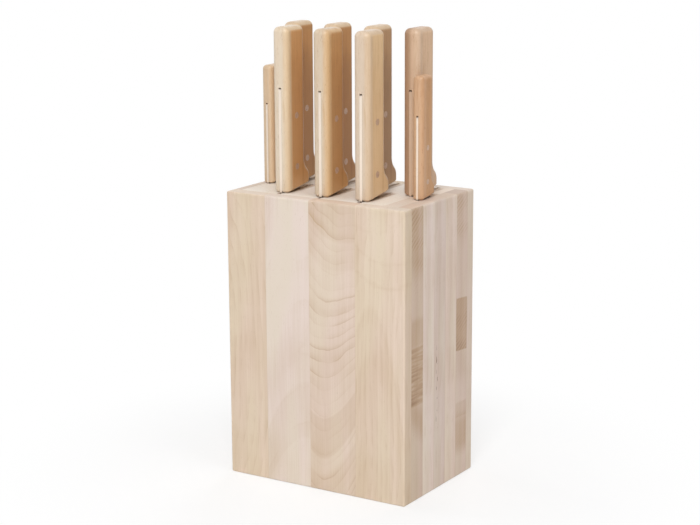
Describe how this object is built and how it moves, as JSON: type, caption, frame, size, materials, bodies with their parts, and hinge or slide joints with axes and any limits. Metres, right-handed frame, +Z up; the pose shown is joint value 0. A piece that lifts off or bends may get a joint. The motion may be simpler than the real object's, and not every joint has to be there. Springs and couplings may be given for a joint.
{
  "type": "knife block with knives",
  "caption": "Upright block of glued wooden staves with kitchen knives standing in its slots; each knife has a riveted wooden handle and lifts straight out.",
  "frame": {"origin": "middle of the block's underside", "axes": "+X to the right along the front face, +Y from front to back, +Z up"},
  "size_m": [0.158, 0.105, 0.3503],
  "materials": {
    "block_wood": "sanded and oiled, pale",
    "core_wood": "sanded, end grain on top",
    "handle_wood": "varnished",
    "blade_steel": "satin ground",
    "rivet_metal": "ground flush"
  },
  "bodies": {
    "block": {"front_stave_1": "block_wood", "front_stave_2": "block_wood", "front_stave_3": "block_wood", "front_stave_4": "block_wood", "back_stave_1": "block_wood", "back_stave_2": "block_wood", "back_stave_3": "block_wood", "back_stave_4": "block_wood", "left_side_stave_1": "block_wood", "left_side_stave_2": "block_wood", "left_side_stave_3": "block_wood", "left_side_stave_4": "block_wood", "left_side_stave_5": "block_wood", "right_side_stave_1": "block_wood", "right_side_stave_2": "block_wood", "right_side_stave_3": "block_wood", "right_side_stave_4": "block_wood", "right_side_stave_5": "block_wood", "core_board_1": "core_wood", "core_board_2": "core_wood", "core_board_3": "core_wood", "core_board_4": "core_wood", "core_board_5": "core_wood", "core_board_6": "core_wood", "core_board_7": "core_wood", "core_board_8": "core_wood", "front_row_spacers": "core_wood", "back_row_spacers": "core_wood", "left_small_spacers": "core_wood", "right_small_spacers": "core_wood"},
    "carving_knife": {"carving_blade": "blade_steel", "carving_handle": "handle_wood", "carving_rivets": "rivet_metal"},
    "fillet_knife": {"fillet_blade": "blade_steel", "fillet_handle": "handle_wood", "fillet_rivets": "rivet_metal"},
    "kitchen_knife": {"kitchen_blade": "blade_steel", "kitchen_handle": "handle_wood", "kitchen_rivets": "rivet_metal"},
    "bread_knife": {"bread_blade": "blade_steel", "bread_handle": "handle_wood", "bread_rivets": "rivet_metal"},
    "chef_knife": {"chef_blade": "blade_steel", "chef_handle": "handle_wood", "chef_rivets": "rivet_metal"},
    "santoku_knife": {"santoku_blade": "blade_steel", "santoku_handle": "handle_wood", "santoku_rivets": "rivet_metal"},
    "boning_knife": {"boning_blade": "blade_steel", "boning_handle": "handle_wood", "boning_rivets": "rivet_metal"},
    "vegetable_knife": {"vegetable_blade": "blade_steel", "vegetable_handle": "handle_wood", "vegetable_rivets": "rivet_metal"},
    "paring_knife": {"paring_blade": "blade_steel", "paring_handle": "handle_wood", "paring_rivets": "rivet_metal"}
  },
  "joints": [
    {"name": "carving_lift", "type": "slide", "parent": "block", "child": "carving_knife", "axis": [0, 0, 1], "range_m": [0, 0.198]},
    {"name": "fillet_lift", "type": "slide", "parent": "block", "child": "fillet_knife", "axis": [0, 0, 1], "range_m": [0, 0.188]},
    {"name": "kitchen_lift", "type": "slide", "parent": "block", "child": "kitchen_knife", "axis": [0, 0, 1], "range_m": [0, 0.168]},
    {"name": "bread_lift", "type": "slide", "parent": "block", "child": "bread_knife", "axis": [0, 0, 1], "range_m": [0, 0.218]},
    {"name": "chef_lift", "type": "slide", "parent": "block", "child": "chef_knife", "axis": [0, 0, 1], "range_m": [0, 0.213]},
    {"name": "santoku_lift", "type": "slide", "parent": "block", "child": "santoku_knife", "axis": [0, 0, 1], "range_m": [0, 0.188]},
    {"name": "boning_lift", "type": "slide", "parent": "block", "child": "boning_knife", "axis": [0, 0, 1], "range_m": [0, 0.148]},
    {"name": "vegetable_lift", "type": "slide", "parent": "block", "child": "vegetable_knife", "axis": [0, 0, 1], "range_m": [0, 0.092]},
    {"name": "paring_lift", "type": "slide", "parent": "block", "child": "paring_knife", "axis": [0, 0, 1], "range_m": [0, 0.111]}
  ]
}
